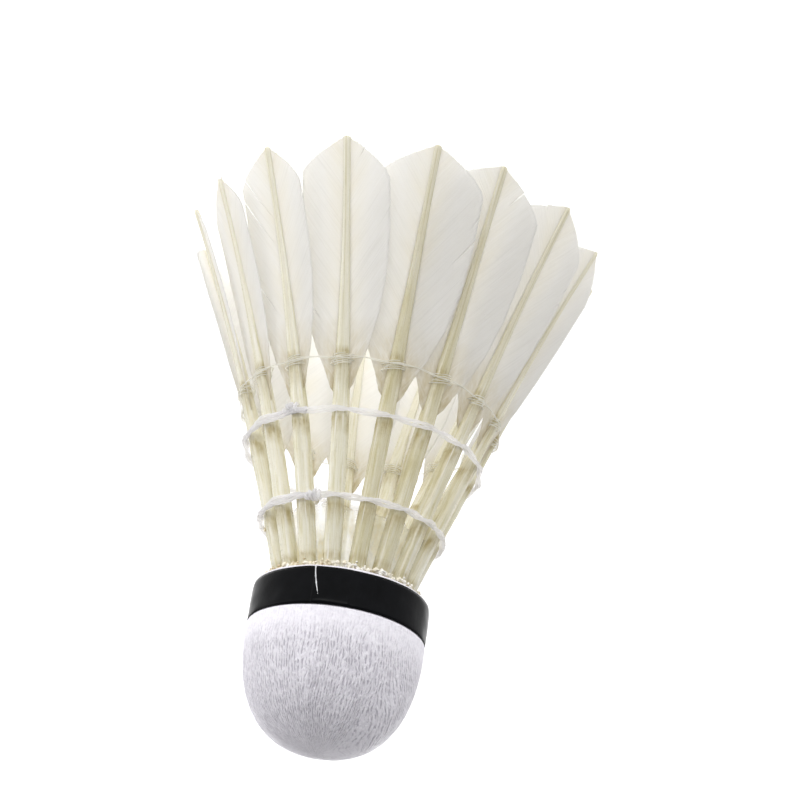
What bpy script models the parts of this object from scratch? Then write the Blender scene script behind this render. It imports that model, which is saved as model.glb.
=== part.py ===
"""Feather badminton shuttlecock, cork base up, standing on its feather tips.

Metres, +Z up along the axis of symmetry. Z = 0 is the plane of the feather tips.
Every touching pair of pieces keeps a small gap, so each object is one closed solid.
"""

import math

import bmesh
import bpy
from mathutils import Matrix, Vector

# --- driving dimensions ------------------------------------------------------

FEATHER_COUNT = 16
TIP_RADIUS = 0.0324  # circle through the feather tips
CORK_FACE_Z = 0.0600  # the cork face that the quills enter
QUILL_RADIUS = 0.0088  # circle of quills at that face
FEATHER_BOW = 0.0012  # how far the shafts bow inwards, so that the skirt flares
SWIRL = math.radians(3.5)  # how far round the tips lean from the quills
QUILL_DEPTH = 0.0060  # how far a quill goes into the cork

SHAFT_TIP_WIDTH = 0.0011
SHAFT_WIDTH = 0.0024
QUILL_END_WIDTH = 0.0018
SHAFT_THICKENS = (0.010, 0.042)  # heights between which the shaft grows to full width
SHAFT_SHOULDER = (0.42, 0.72)  # radial and tangential, as shares of the shaft's half width
QUILL_SIDES = 10

VANE_HALF_WIDTH = 0.0072  # one side of the shaft
VANE_THICKNESS = 0.0004
VANE_TAPERS = (0.0245, 0.0370)  # heights between which the vane runs out on the shaft
OUTER_TIP_DROP = 0.0062  # how far the outer vane's cut end falls back from the tip
INNER_TIP_DROP = 0.0036
TIP_CURVE = 1.5  # 1 is a straight slanting cut, more bends it into the side of the vane
VANE_EDGE_SHARE = 0.4  # most of the shaft's half width that half the vane's sheet takes up
VANE_TILT = math.radians(13.0)  # turns each vane's outer half over its neighbour

BASE_RADIUS = 0.0132  # over the leather dome and over the tape
TAPE_WIDTH = 0.0057
TAPE_THICKNESS = 0.0002
TAPE_LAP_ANGLE = math.radians(24.0)
TAPE_LAP_CENTRE = math.radians(50.0)
TAPE_INSET = 0.0003  # leather edge left bare beside the tape
LEATHER_THICKNESS = 0.0006
DOME_HEIGHT = 0.0177
DOME_EXPONENT = 2.45  # 2 is an ellipse, more is squarer
DISC_THICKNESS = 0.0074
GAP = 0.0001  # between concentric layers
FACE_GAP = 0.0002  # between the two corks
SOCKET_CLEARANCE = 0.0002

LOWER_THREAD_Z = CORK_FACE_Z - 0.0106
UPPER_THREAD_Z = CORK_FACE_Z - 0.0224
THREAD_THICKNESS = 0.0009
OVERLAP_THREAD_Z = CORK_FACE_Z - 0.0297
OVERLAP_THREAD_THICKNESS = 0.0004
THREAD_GAP = 0.0002

GLUE_WIDTH = 0.0007
GLUE_HEIGHT = 0.0008
GLUE_TOE_SHARE = 0.4  # of the width, at the edge farthest from the cork

ROUND_STEPS = 48
DOME_ROWS = 9
THREAD_SIDES = 6
TIP_ROWS = 4
VANE_ROWS = 3
TAPER_ROWS = 5
SHAFT_ROWS = 3
WELD_DISTANCE = 1e-7
ON_AXIS = 1e-9  # a point nearer the axis than this lies on it

# --- values worked out from them ---------------------------------------------

FEATHER_SLOPE = (TIP_RADIUS - QUILL_RADIUS) / CORK_FACE_Z
QUILL_END_Z = CORK_FACE_Z + QUILL_DEPTH
TAPE_START_Z = CORK_FACE_Z + TAPE_INSET
TAPE_END_Z = TAPE_START_Z + TAPE_WIDTH
DOME_START_Z = TAPE_END_Z + 2 * GAP
LEATHER_WAIST_RADIUS = BASE_RADIUS - TAPE_THICKNESS - GAP
LEATHER_INNER_RADIUS = LEATHER_WAIST_RADIUS - LEATHER_THICKNESS
CORK_RADIUS = LEATHER_INNER_RADIUS - GAP
CORK_DOME_HEIGHT = DOME_HEIGHT - LEATHER_THICKNESS - GAP
CORK_CORE_Z = CORK_FACE_Z + DISC_THICKNESS + FACE_GAP


# --- helpers -----------------------------------------------------------------


def clear_scene():
    for old in list(bpy.data.objects):
        bpy.data.objects.remove(old, do_unlink=True)


def make_material(name, colour, roughness, metallic=0.0, alpha=1.0):
    material = bpy.data.materials.new(name)
    material.use_nodes = True
    shader = material.node_tree.nodes["Principled BSDF"]
    shader.inputs["Base Color"].default_value = (*colour, 1.0)
    shader.inputs["Roughness"].default_value = roughness
    shader.inputs["Metallic"].default_value = metallic
    shader.inputs["Alpha"].default_value = alpha
    return material


def make_object(name, mesh, material):
    body = bpy.data.objects.new(name, mesh)
    bpy.context.collection.objects.link(body)
    if not mesh.materials:
        mesh.materials.append(material)
    return body


def finish_mesh(name, bm, smooth=True):
    bmesh.ops.remove_doubles(bm, verts=bm.verts, dist=WELD_DISTANCE)
    bmesh.ops.recalc_face_normals(bm, faces=bm.faces)
    for face in bm.faces:
        face.smooth = smooth
    mesh = bpy.data.meshes.new(name)
    bm.to_mesh(mesh)
    bm.free()
    return mesh


def smoothstep(value, low, high):
    share = min(max((value - low) / (high - low), 0.0), 1.0)
    return share * share * (3.0 - 2.0 * share)


def spread(low, high, count):
    """Evenly spaced values from low up to, but not including, high."""
    return [low + (high - low) * i / count for i in range(count)]


def lathe(name, profile, material, steps=ROUND_STEPS):
    """Spin a closed (radius, height) outline around Z. Points on the axis become poles."""
    bm = bmesh.new()
    points = [bm.verts.new((radius, 0.0, height)) for radius, height in profile]
    for start, end in zip(points, points[1:] + points[:1]):
        if start.co.x > ON_AXIS or end.co.x > ON_AXIS:
            bm.edges.new((start, end))
    bmesh.ops.spin(
        bm,
        geom=bm.verts[:] + bm.edges[:],
        axis=(0.0, 0.0, 1.0),
        cent=(0.0, 0.0, 0.0),
        angle=2.0 * math.pi,
        steps=steps,
        use_merge=True,
    )
    return make_object(name, finish_mesh(name, bm), material)


def loft(bm, rings):
    """Skin closed rings of equal length, and cap the first and the last."""
    rows = [[bm.verts.new(point) for point in ring] for ring in rings]
    sides = len(rows[0])
    for low, high in zip(rows, rows[1:]):
        for i in range(sides):
            j = (i + 1) % sides
            bm.faces.new((low[i], low[j], high[j], high[i]))
    bm.faces.new(list(reversed(rows[0])))
    bm.faces.new(rows[-1])


# --- feathers ----------------------------------------------------------------


def feather_radius(height):
    """Distance of a shaft's centre from the axis at a height."""
    share = height / CORK_FACE_Z
    return TIP_RADIUS - FEATHER_SLOPE * height - 4.0 * FEATHER_BOW * share * (1.0 - share)


def feather_point(height, out, along):
    """A point of the first feather, from its radial and tangential offsets at a height."""
    turn = Matrix.Rotation(SWIRL * (1.0 - height / CORK_FACE_Z), 3, "Z")
    return turn @ Vector((feather_radius(height) + out, along, height))


def shaft_width(height):
    grown = smoothstep(height, *SHAFT_THICKENS)
    shrunk = smoothstep(height, CORK_FACE_Z, QUILL_END_Z)
    width = SHAFT_TIP_WIDTH + (SHAFT_WIDTH - SHAFT_TIP_WIDTH) * grown
    return width + (QUILL_END_WIDTH - SHAFT_WIDTH) * shrunk


def vane_reach(height, tip_drop):
    """Half width of the vane on one side, zero where the shaft is bare."""
    cut = 1.0 - max(1.0 - height / tip_drop, 0.0) ** TIP_CURVE
    kept = 1.0 - smoothstep(height, *VANE_TAPERS)
    return VANE_HALF_WIDTH * min(cut, kept)


def feather_section(height):
    """Closed outline of a feather at a height, as (radial, tangential) offsets."""
    half = shaft_width(height) / 2.0
    shoulder = [share * half for share in SHAFT_SHOULDER]
    edges = []
    for side, drop in ((1.0, INNER_TIP_DROP), (-1.0, OUTER_TIP_DROP)):
        reach = max(vane_reach(height, drop), half)
        round_fall = reach * reach / (2.0 * feather_radius(height))
        lift = -side * math.sin(VANE_TILT) * (reach - half) - round_fall
        edges.append((side * reach, lift))
    thin = min(VANE_THICKNESS / 2.0, VANE_EDGE_SHARE * half)
    (inner_reach, inner_lift), (outer_reach, outer_lift) = edges
    return [
        (half, 0.0),
        (shoulder[0], shoulder[1]),
        (inner_lift + thin, inner_reach),
        (inner_lift - thin, inner_reach),
        (-shoulder[0], shoulder[1]),
        (-half, 0.0),
        (-shoulder[0], -shoulder[1]),
        (outer_lift - thin, outer_reach),
        (outer_lift + thin, outer_reach),
        (shoulder[0], -shoulder[1]),
    ]


def feather_mesh():
    heights = spread(0.0, OUTER_TIP_DROP, TIP_ROWS)
    heights += spread(OUTER_TIP_DROP, VANE_TAPERS[0], VANE_ROWS)
    heights += spread(VANE_TAPERS[0], VANE_TAPERS[1], TAPER_ROWS)
    heights += spread(VANE_TAPERS[1], CORK_FACE_Z, SHAFT_ROWS)
    heights += [CORK_FACE_Z, QUILL_END_Z]
    rings = []
    for height in heights:
        rings.append([feather_point(height, out, along) for out, along in feather_section(height)])
    bm = bmesh.new()
    loft(bm, rings)
    return finish_mesh("feather", bm, smooth=False)


def add_feathers(material):
    mesh = feather_mesh()
    for i in range(FEATHER_COUNT):
        feather = make_object(f"feather_{i + 1:02d}", mesh, material)
        feather.rotation_euler.z = 2.0 * math.pi * i / FEATHER_COUNT


# --- base --------------------------------------------------------------------


def dome_outline(radius, height, start_z):
    """A quarter superellipse from (radius, start_z) up to the pole on the axis."""
    power = 2.0 / DOME_EXPONENT
    points = []
    for i in range(DOME_ROWS + 1):
        angle = 0.5 * math.pi * i / DOME_ROWS
        across = max(math.cos(angle), 0.0) ** power if i < DOME_ROWS else 0.0
        points.append((radius * across, start_z + height * math.sin(angle) ** power))
    return points


def add_cork_core(material):
    outline = [(0.0, CORK_CORE_Z), (CORK_RADIUS, CORK_CORE_Z)]
    dome = dome_outline(CORK_RADIUS, CORK_DOME_HEIGHT, DOME_START_Z)
    outline += [point for point in dome if point[1] > CORK_CORE_Z + GAP]
    lathe("cork_core", outline, material)


def socket_cutter():
    """One object that holds a tapered plug for every quill socket."""
    bm = bmesh.new()
    low = CORK_FACE_Z - SHAFT_WIDTH
    high = QUILL_END_Z + SOCKET_CLEARANCE
    for i in range(FEATHER_COUNT):
        turn = Matrix.Rotation(2.0 * math.pi * i / FEATHER_COUNT, 3, "Z")
        rings = []
        for height in (low, CORK_FACE_Z, high):
            half = shaft_width(height) / 2.0 + SOCKET_CLEARANCE
            ring = []
            for side in range(QUILL_SIDES):
                angle = 2.0 * math.pi * side / QUILL_SIDES
                point = feather_point(height, half * math.cos(angle), half * math.sin(angle))
                ring.append(turn @ point)
            rings.append(ring)
        loft(bm, rings)
    cutter = bpy.data.objects.new("socket_cutter", finish_mesh("socket_cutter", bm, smooth=False))
    bpy.context.collection.objects.link(cutter)
    cutter.hide_render = True
    cutter.display_type = "WIRE"
    return cutter


def add_cork_disc(material):
    top = CORK_FACE_Z + DISC_THICKNESS
    outline = [(0.0, CORK_FACE_Z), (CORK_RADIUS, CORK_FACE_Z), (CORK_RADIUS, top), (0.0, top)]
    disc = lathe("cork_disc", outline, material)
    sockets = disc.modifiers.new("sockets", "BOOLEAN")
    sockets.object = socket_cutter()
    sockets.operation = "DIFFERENCE"
    sockets.solver = "EXACT"


def add_leather_cover(material):
    outer = [(LEATHER_WAIST_RADIUS, CORK_FACE_Z), (LEATHER_WAIST_RADIUS, TAPE_END_Z + GAP)]
    outer += dome_outline(BASE_RADIUS, DOME_HEIGHT, DOME_START_Z)
    inner = dome_outline(LEATHER_INNER_RADIUS, DOME_HEIGHT - LEATHER_THICKNESS, DOME_START_Z)
    inner.append((LEATHER_INNER_RADIUS, CORK_FACE_Z))
    inner[:-1] = reversed(inner[:-1])
    lathe("leather_cover", outer + inner, material)


def add_band_tape(material):
    """A ring of tape whose last stretch lies on its first, as a raised lap."""
    inner = BASE_RADIUS - TAPE_THICKNESS
    rows = []
    bm = bmesh.new()
    for i in range(ROUND_STEPS):
        angle = 2.0 * math.pi * i / ROUND_STEPS
        off_lap = abs((angle - TAPE_LAP_CENTRE + math.pi) % (2.0 * math.pi) - math.pi)
        outer = BASE_RADIUS + (TAPE_THICKNESS if off_lap < TAPE_LAP_ANGLE / 2.0 else 0.0)
        turn = Matrix.Rotation(angle, 3, "Z")
        corners = (
            (inner, TAPE_START_Z),
            (outer, TAPE_START_Z),
            (outer, TAPE_END_Z),
            (inner, TAPE_END_Z),
        )
        rows.append([bm.verts.new(turn @ Vector((r, 0.0, z))) for r, z in corners])
    for here, there in zip(rows, rows[1:] + rows[:1]):
        for j in range(4):
            k = (j + 1) % 4
            bm.faces.new((here[j], there[j], there[k], here[k]))
    make_object("band_tape", finish_mesh("band_tape", bm, smooth=False), material)


# --- threads and glue --------------------------------------------------------


def thread_outline(centre_radius, height, thickness):
    points = []
    for i in range(THREAD_SIDES):
        angle = 2.0 * math.pi * i / THREAD_SIDES
        out = centre_radius + thickness / 2.0 * math.cos(angle)
        points.append((out, height + thickness / 2.0 * math.sin(angle)))
    return points


def outermost_radius(height):
    """Largest distance from the axis that a feather reaches at a height."""
    radius = feather_radius(height)
    return max(math.hypot(radius + out, along) for out, along in feather_section(height))


def add_thread(name, height, thickness, material):
    """A thread ring lashed round the outside of all the shafts."""
    # a spun ring's flat sides lie inside its true circle, so it starts that much further out
    clear = outermost_radius(height - thickness) + THREAD_GAP
    centre = (clear + thickness / 2.0) / math.cos(math.pi / ROUND_STEPS)
    lathe(name, thread_outline(centre, height, thickness), material)


def add_glue_fillet(material):
    """The bead of glue round the feet of the shafts, on the cork's face."""
    top = CORK_FACE_Z - GAP
    inner = (outermost_radius(CORK_FACE_Z - GLUE_HEIGHT) + THREAD_GAP) / math.cos(math.pi / ROUND_STEPS)
    outline = [
        (inner, top),
        (inner, top - GLUE_HEIGHT),
        (inner + GLUE_TOE_SHARE * GLUE_WIDTH, top - GLUE_HEIGHT),
        (inner + GLUE_WIDTH, top),
    ]
    lathe("glue_fillet", outline, material)


def main():
    clear_scene()
    feather = make_material("feather_white", (0.83, 0.81, 0.74), 0.55)
    core_cork = make_material("agglomerated_cork", (0.50, 0.33, 0.19), 0.90)
    disc_cork = make_material("natural_cork", (0.64, 0.45, 0.28), 0.85)
    leather = make_material("white_leather", (0.86, 0.85, 0.87), 0.50)
    tape = make_material("black_tape", (0.012, 0.012, 0.014), 0.18)
    thread = make_material("cotton_thread", (0.82, 0.81, 0.80), 0.80)
    fine_thread = make_material("fine_thread", (0.80, 0.77, 0.68), 0.60)
    glue = make_material("clear_glue", (0.80, 0.70, 0.45), 0.10, alpha=0.6)

    add_cork_core(core_cork)
    add_cork_disc(disc_cork)
    add_leather_cover(leather)
    add_band_tape(tape)
    add_feathers(feather)
    add_thread("lower_thread", LOWER_THREAD_Z, THREAD_THICKNESS, thread)
    add_thread("upper_thread", UPPER_THREAD_Z, THREAD_THICKNESS, thread)
    add_thread("overlap_thread", OVERLAP_THREAD_Z, OVERLAP_THREAD_THICKNESS, fine_thread)
    add_glue_fillet(glue)


main()
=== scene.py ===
"""A feathered shuttlecock that stands on its feather tips, dressed for a studio picture."""

import math

import bpy
import numpy as np
from mathutils import Matrix, Vector


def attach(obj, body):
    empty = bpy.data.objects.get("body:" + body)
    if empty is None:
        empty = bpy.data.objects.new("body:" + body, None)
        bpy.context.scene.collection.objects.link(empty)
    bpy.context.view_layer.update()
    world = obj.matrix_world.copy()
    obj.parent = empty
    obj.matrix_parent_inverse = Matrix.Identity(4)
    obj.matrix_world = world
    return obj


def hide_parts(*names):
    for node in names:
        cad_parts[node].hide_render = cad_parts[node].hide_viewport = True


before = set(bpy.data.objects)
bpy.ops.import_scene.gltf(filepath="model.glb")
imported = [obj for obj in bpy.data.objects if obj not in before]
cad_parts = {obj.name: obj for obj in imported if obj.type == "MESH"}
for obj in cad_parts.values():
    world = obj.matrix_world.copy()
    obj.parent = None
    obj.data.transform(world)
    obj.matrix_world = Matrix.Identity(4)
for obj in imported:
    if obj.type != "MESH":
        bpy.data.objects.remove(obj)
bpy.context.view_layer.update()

MM = 0.001
TURN = 2.0 * math.pi

# --- the object's sizes, in metres, as the CAD has them ---

FEATHER_COUNT = 16
TIP_RADIUS = 0.0324
CORK_FACE_Z = 0.0600
QUILL_RADIUS = 0.0088
FEATHER_BOW = 0.0012
SWIRL = math.radians(3.5)
QUILL_END_Z = 0.0640  # where the modelled quill stops, inside its socket
SHAFT_TIP_WIDTH = 0.0011
SHAFT_WIDTH = 0.0025
SHAFT_THICKENS = (0.008, 0.040)
VANE_HALF_WIDTH = 0.0074
VANE_FOOT_Z = 0.0372  # where the vane has run out on the shaft
# the vane narrows towards its foot: share of the full half width at heights
FOOT_HEIGHTS = (0.0, 0.0130, 0.0190, 0.0240, 0.0285, 0.0315, 0.0345, 0.0372)
FOOT_SHARES = (1.0, 1.0, 0.93, 0.80, 0.58, 0.37, 0.21, 0.0)
OUTER_TIP_DROP = 0.0062
INNER_TIP_DROP = 0.0036
TIP_CURVE = 1.5  # 1 is a straight slanting cut
VANE_TILT = math.radians(13.0)
BASE_RADIUS = 0.0132
TAPE_START_Z = 0.0603
TAPE_END_Z = 0.0660
TAPE_THICKNESS = 0.0002
TAPE_LAP_AZIMUTH = math.radians(50.0)
TAPE_LAP_RISE = 0.00013
DOME_START_Z = 0.0662
DOME_HEIGHT = 0.0177
DOME_EXPONENT = 2.45
LEATHER_THICKNESS = 0.0006
LEATHER_WAIST_RADIUS = 0.0129
CREASE_DEPTH = 0.00004
CREASES = 170.0  # round the base
CREASE_AZIMUTH = math.radians(32.0)  # here the creases run straight to the nose; away from it they lean
# the leather's colour gets painted shade where this relief is low
SMOOTH_RELIEF = 0.6  # what the leather's relief says where there is no crease
LOWER_THREAD_Z = 0.0494
UPPER_THREAD_Z = 0.0376
OVERLAP_THREAD_Z = 0.0303
FEATHER_SLOPE = (TIP_RADIUS - QUILL_RADIUS) / CORK_FACE_Z

# --- how the feathers are built ---

BARB_PITCH = 0.00044  # along the shaft
BARB_SLOPE = 1.22  # how far a barb runs towards the tip for each step outwards
BARB_CURL = 11.0  # extra run towards the tip, growing with the square of the reach
BARB_ROWS = 12  # steps along a barb
BARB_RIDGE = 0.000013
VANE_SHEET = 0.00009  # thickness of the vane
SPLIT_FADE = 5.0  # barbs over which a split's opening fades
SHAFT_SIDES = 20
SHAFT_ROWS = 150
SHAFT_EXPONENT = 2.7  # 2 is an ellipse, more is squarer
# small natural differences between the feathers: tip leans round by so much, or is cut shorter
TIP_LEAN = {4: 0.0008, 2: -0.0009, 1: 0.0012, 15: -0.0006}
TIP_TRIM = {5: 0.0010, 10: 0.0006, 13: 0.0005}
# how far each shaft has yellowed, from 0 to 1
AGED = {2: 0.60, 1: 0.55, 16: 0.25, 15: 0.15}
# feather and side: places where its barbs have come apart, as barb, share of its length, opening
TORN = {(4, 1): ((24, 0.15, 0.00012), (33, 0.10, 0.00016), (58, 0.30, 0.00012)), (3, 1): ((66, 0.5, 0.0001),)}
OUTER_WIDTH = {8: 0.95, 7: 0.95, 6: 0.68, 5: 0.68, 4: 0.74, 3: 0.90, 2: 1.06, 1: 1.05, 16: 0.96, 15: 0.92}

# --- how the threads and the glue are built ---

STRAND_RADIUS = 0.00026
STRAND_PLIES = {"ply_depth": 0.12, "ply_length": 0.0016}
CORD_GAP = 0.00046  # from a shaft's face to the middle of the cord
CORD_LAYS = 9.0  # turns of the strands about each other, round the skirt
CORD_ENDS = (math.radians(62.0), math.radians(118.0))  # between these the cord's ends run beside it
FINE_THREAD_RADIUS = 0.00007
FINE_THREAD_GAP = 0.00016
# each knot: azimuth, height above its row, and its tails as way round, way up and length
UPPER_KNOT = (math.radians(70.0), -0.0004, ((0.3, -0.9, 0.0006), (0.8, -0.3, 0.0006)))
LOWER_KNOT = (math.radians(58.0), 0.0001, ((-0.7, -0.9, 0.0007), (0.6, 0.2, 0.0005)))
GLUE_INNER_RADIUS = 0.0092
GLUE_TOP_Z = CORK_FACE_Z - 0.00006
GLUE_BEADS = 700
BEADS_ON_A_SHAFT = 4
# two drops under the lower thread: azimuth, height, size
GLUE_DROPS = ((1.0, LOWER_THREAD_Z + 0.0007, 0.00055), (2.3, LOWER_THREAD_Z + 0.0006, 0.0004))
FILM_CLEAR_Z = 0.0505  # the glue film between the quills is clear here
FILM_CLOUDY_Z = 0.0565  # and cloudy here
FILM_REACH = 0.0106  # how far from the cork it comes

# --- the camera and the lights ---

CAMERA_AIM = Vector((0.0005, -0.0047, 0.0252))
CAMERA_DISTANCE = 0.320
CAMERA_AZIMUTH = math.radians(32.14)
CAMERA_ELEVATION = math.radians(26.08)
CAMERA_ROLL = math.radians(-171.57)
CAMERA_LENS = 92.1
LIGHT_AIM = Vector((0.0, 0.0, 0.045))
LIGHT_DISTANCE = 0.60


# --- helpers ---


def smoothstep(value, low, high):
    share = np.clip((value - low) / (high - low), 0.0, 1.0)
    return share * share * (3.0 - 2.0 * share)


def lattice(cell, seed):
    """A repeatable number from 0 to 1 for every whole-numbered cell."""
    mixed = cell[..., 0] * 73856093 ^ cell[..., 1] * 19349663 ^ cell[..., 2] * 83492791
    mixed = (mixed ^ (seed * 40503)) * 1274126177
    mixed = (mixed ^ (mixed >> 15)) * 668265263
    return ((mixed ^ (mixed >> 17)) & 0xFFFF) / 65535.0


def noise(x, y, seed, wrap=0, z=0.0):
    """Smooth noise from -1 to 1. It repeats in x after wrap cells, if wrap is given."""
    points = np.stack(np.broadcast_arrays(x, y, z), -1).astype(float)
    cell = np.floor(points).astype(np.int64)
    part = points - cell
    part = part * part * (3.0 - 2.0 * part)
    total = np.zeros(points.shape[:-1])
    for corner in np.ndindex(2, 2, 2):
        weight = np.ones(points.shape[:-1])
        for axis, step in enumerate(corner):
            weight = weight * (part[..., axis] if step else 1.0 - part[..., axis])
        at = cell + np.array(corner)
        if wrap:
            at[..., 0] %= wrap
        total += weight * lattice(at, seed)
    return 2.0 * total - 1.0


def ring_noise(azimuth, cells, y, seed):
    """Noise with so many cells in a full turn, whose ends meet."""
    return noise(azimuth / TURN * cells, y, seed, wrap=cells)


def turn_steps(count):
    """Angles that step once round."""
    return TURN * np.arange(count) / count


def ring_points(azimuth, radius, height):
    """Points, or one point, round the axis."""
    azimuth, radius, height = np.broadcast_arrays(azimuth, radius, height)
    return np.stack([radius * np.cos(azimuth), radius * np.sin(azimuth), height], -1)


def pairs(first, second):
    return np.stack(np.broadcast_arrays(first, second), -1)


def grid_faces(rows, columns, closed=False):
    """Quads of a rows x columns grid of points, whose rows may close on themselves."""
    row, column = np.meshgrid(np.arange(rows - 1), np.arange(columns - (not closed)), indexing="ij")
    after = (column + 1) % columns
    low, high = row * columns, (row + 1) * columns
    return np.stack([low + column, low + after, high + after, high + column], -1).reshape(-1, 4)


def ring_faces(rows, sides, ends="open"):
    """Quads between rows that close on themselves. The end rows are open, capped, joined or closed
    by fans to two poles, which are the points after the last row."""
    faces = grid_faces(rows, sides, closed=True).tolist()
    last = (rows - 1) * sides
    ring = list(range(sides))
    if ends == "capped":
        faces += [ring[::-1], [last + j for j in ring]]
    if ends == "joined":
        faces += [[last + j, last + (j + 1) % sides, (j + 1) % sides, j] for j in ring]
    if ends == "poles":
        for j, k in zip(ring, ring[1:] + ring[:1]):
            faces += [[k, j, last + sides], [last + j, last + k, last + sides + 1]]
    return faces


def add_object(name, points, faces, material, uvs=None, relief=None, period=0.0):
    mesh = bpy.data.meshes.new(name)
    mesh.from_pydata(np.asarray(points).reshape(-1, 3).tolist(), [], [list(map(int, f)) for f in faces])
    corners = np.empty(len(mesh.loops), dtype=np.int32)
    mesh.loops.foreach_get("vertex_index", corners)
    if uvs is not None:
        spots = np.asarray(uvs).reshape(-1, 2)[corners]
        if period:
            # corners past the seam count on from the last column instead of starting again
            sizes = [len(face.vertices) for face in mesh.polygons]
            highest = np.maximum.reduceat(spots[:, 0], np.concatenate([[0], np.cumsum(sizes)[:-1]]))
            spots[:, 0] += period * (np.repeat(highest, sizes) - spots[:, 0] > 0.5 * period)
        mesh.uv_layers.new(name="UVMap").data.foreach_set("uv", spots.ravel())
    if relief is not None:
        mesh.uv_layers.new(name="Relief").data.foreach_set("uv", pairs(relief, relief)[corners].ravel())
    mesh.polygons.foreach_set("use_smooth", [True] * len(mesh.polygons))
    mesh.materials.append(material)
    mesh.update()
    obj = bpy.data.objects.new(name, mesh)
    bpy.context.scene.collection.objects.link(obj)
    return obj


def settle(obj, node):
    """The piece rides on the one body and stands in for a CAD node, which it hides."""
    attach(obj, "root")
    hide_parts(node)
    return obj


class Heap:
    """Collects the points and faces of many small shapes that make one mesh."""

    def __init__(self):
        self.points = []
        self.faces = []
        self.uvs = []
        self.count = 0

    def add(self, points, faces, uvs=None):
        points = np.asarray(points).reshape(-1, 3)
        self.points.append(points)
        self.uvs.append(np.zeros((len(points), 2)) if uvs is None else uvs.reshape(-1, 2))
        self.faces += [[int(i) + self.count for i in face] for face in faces]
        self.count += len(points)

    def build(self, name, material):
        return add_object(name, np.concatenate(self.points), self.faces, material, np.concatenate(self.uvs))


def tube(heap, path, radius, sides=8, closed=False, ply_depth=0.0, ply_length=1.0):
    """A tube along a path, which may have two plies twisted round it with that length to a turn."""
    if closed:
        tangent = np.roll(path, -1, axis=0) - np.roll(path, 1, axis=0)
    else:
        tangent = np.gradient(path, axis=0)
    tangent /= np.linalg.norm(tangent, axis=1)[:, None]
    side = np.zeros_like(path)
    last = np.cross(tangent[0], (0.31, 0.17, 0.93))  # any way that no path starts along
    for i, along in enumerate(tangent):
        last = last - along * np.dot(last, along)
        last /= np.linalg.norm(last)
        side[i] = last
    up = np.cross(tangent, side)
    steps = np.linalg.norm(np.diff(path, axis=0), axis=1)
    run = np.concatenate([[0.0], np.cumsum(steps)])
    share = (run / run[-1])[:, None]
    if closed:
        # spread the frame's leftover turn over the whole loop, so that its ends meet
        turn = share * math.atan2(np.dot(side[0], up[-1]), np.dot(side[0], side[-1]))
        side, up = side * np.cos(turn) + up * np.sin(turn), up * np.cos(turn) - side * np.sin(turn)
    angle = turn_steps(sides)
    plies = 1.0 + ply_depth * np.cos(2.0 * angle + TURN * round(run[-1] / ply_length) * share)
    reach = (np.broadcast_to(radius, (len(path),))[:, None] * plies)[..., None]
    round_path = np.cos(angle)[:, None] * side[:, None, :] + np.sin(angle)[:, None] * up[:, None, :]
    faces = ring_faces(len(path), sides, "joined" if closed else "capped")
    heap.add(path[:, None, :] + reach * round_path, faces, pairs(angle / TURN, run[:, None] / MM))


# --- materials ---


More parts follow.
